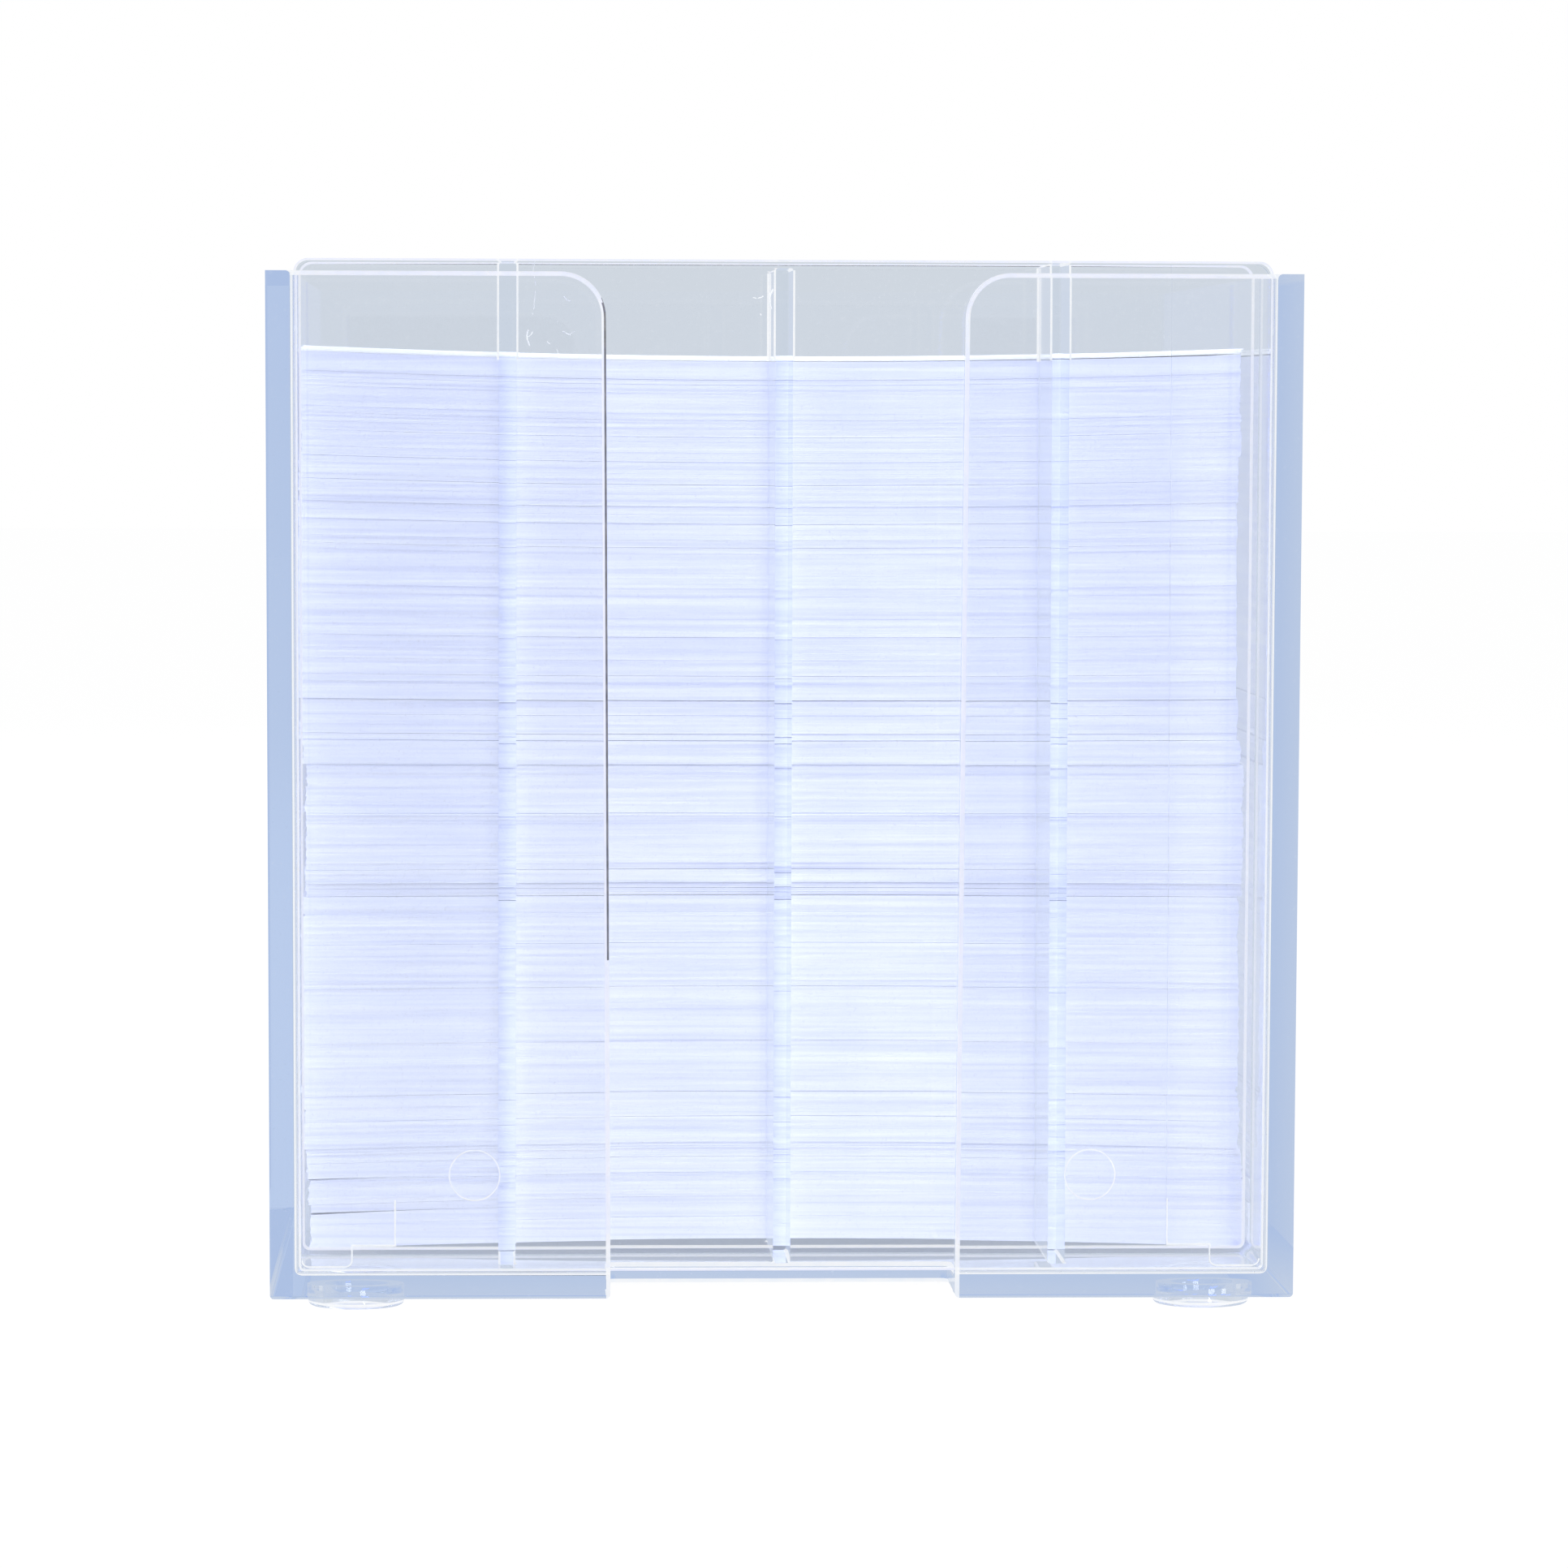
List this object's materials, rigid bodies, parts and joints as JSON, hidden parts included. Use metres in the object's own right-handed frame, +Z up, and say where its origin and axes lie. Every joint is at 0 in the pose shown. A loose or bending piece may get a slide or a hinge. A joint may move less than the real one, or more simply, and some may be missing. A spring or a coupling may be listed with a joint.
{
  "type": "memo cube with pen holder",
  "caption": "Clear open-top desk box for square note sheets, with a finger gap in front, a removable divided pen holder behind it and ring feet.",
  "frame": {"origin": "on the desk, under the middle of the box", "axes": "+Z up, -Y towards the front with the finger gap, +X to the right seen from the front"},
  "size_m": [0.0956, 0.115, 0.0977],
  "materials": {
    "clear_box": "polished clear polystyrene, blue at its edges",
    "clear_insert": "polished clear polystyrene with light scuffs",
    "note_paper": "matte white wood-free paper with cut edges"
  },
  "bodies": {
    "box": {"box_shell": "clear_box", "foot_front_left": "clear_box", "foot_front_right": "clear_box", "foot_rear_left": "clear_box", "foot_rear_right": "clear_box"},
    "pen_holder": {"pen_holder_insert": "clear_insert"},
    "memo_stack": {"memo_lift_01": "note_paper", "memo_lift_02": "note_paper", "memo_lift_03": "note_paper", "memo_lift_04": "note_paper", "memo_lift_05": "note_paper", "memo_lift_06": "note_paper", "memo_lift_07": "note_paper", "memo_lift_08": "note_paper", "memo_lift_09": "note_paper", "memo_lift_10": "note_paper", "memo_lift_11": "note_paper", "memo_lift_12": "note_paper", "memo_lift_13": "note_paper", "memo_lift_14": "note_paper", "memo_lift_15": "note_paper", "memo_lift_16": "note_paper", "memo_lift_17": "note_paper"},
    "top_sheet": {"top_sheet": "note_paper"}
  },
  "joints": [
    {"name": "pen_holder_lift", "type": "slide", "parent": "box", "child": "pen_holder", "axis": [0, 0, 1], "range_m": [0, 0.1]},
    {"name": "memo_stack_lift", "type": "slide", "parent": "box", "child": "memo_stack", "axis": [0, 0, 1], "range_m": [0, 0.1]},
    {"name": "top_sheet_lift", "type": "slide", "parent": "memo_stack", "child": "top_sheet", "axis": [0, 0, 1], "range_m": [0, 0.1]}
  ]
}
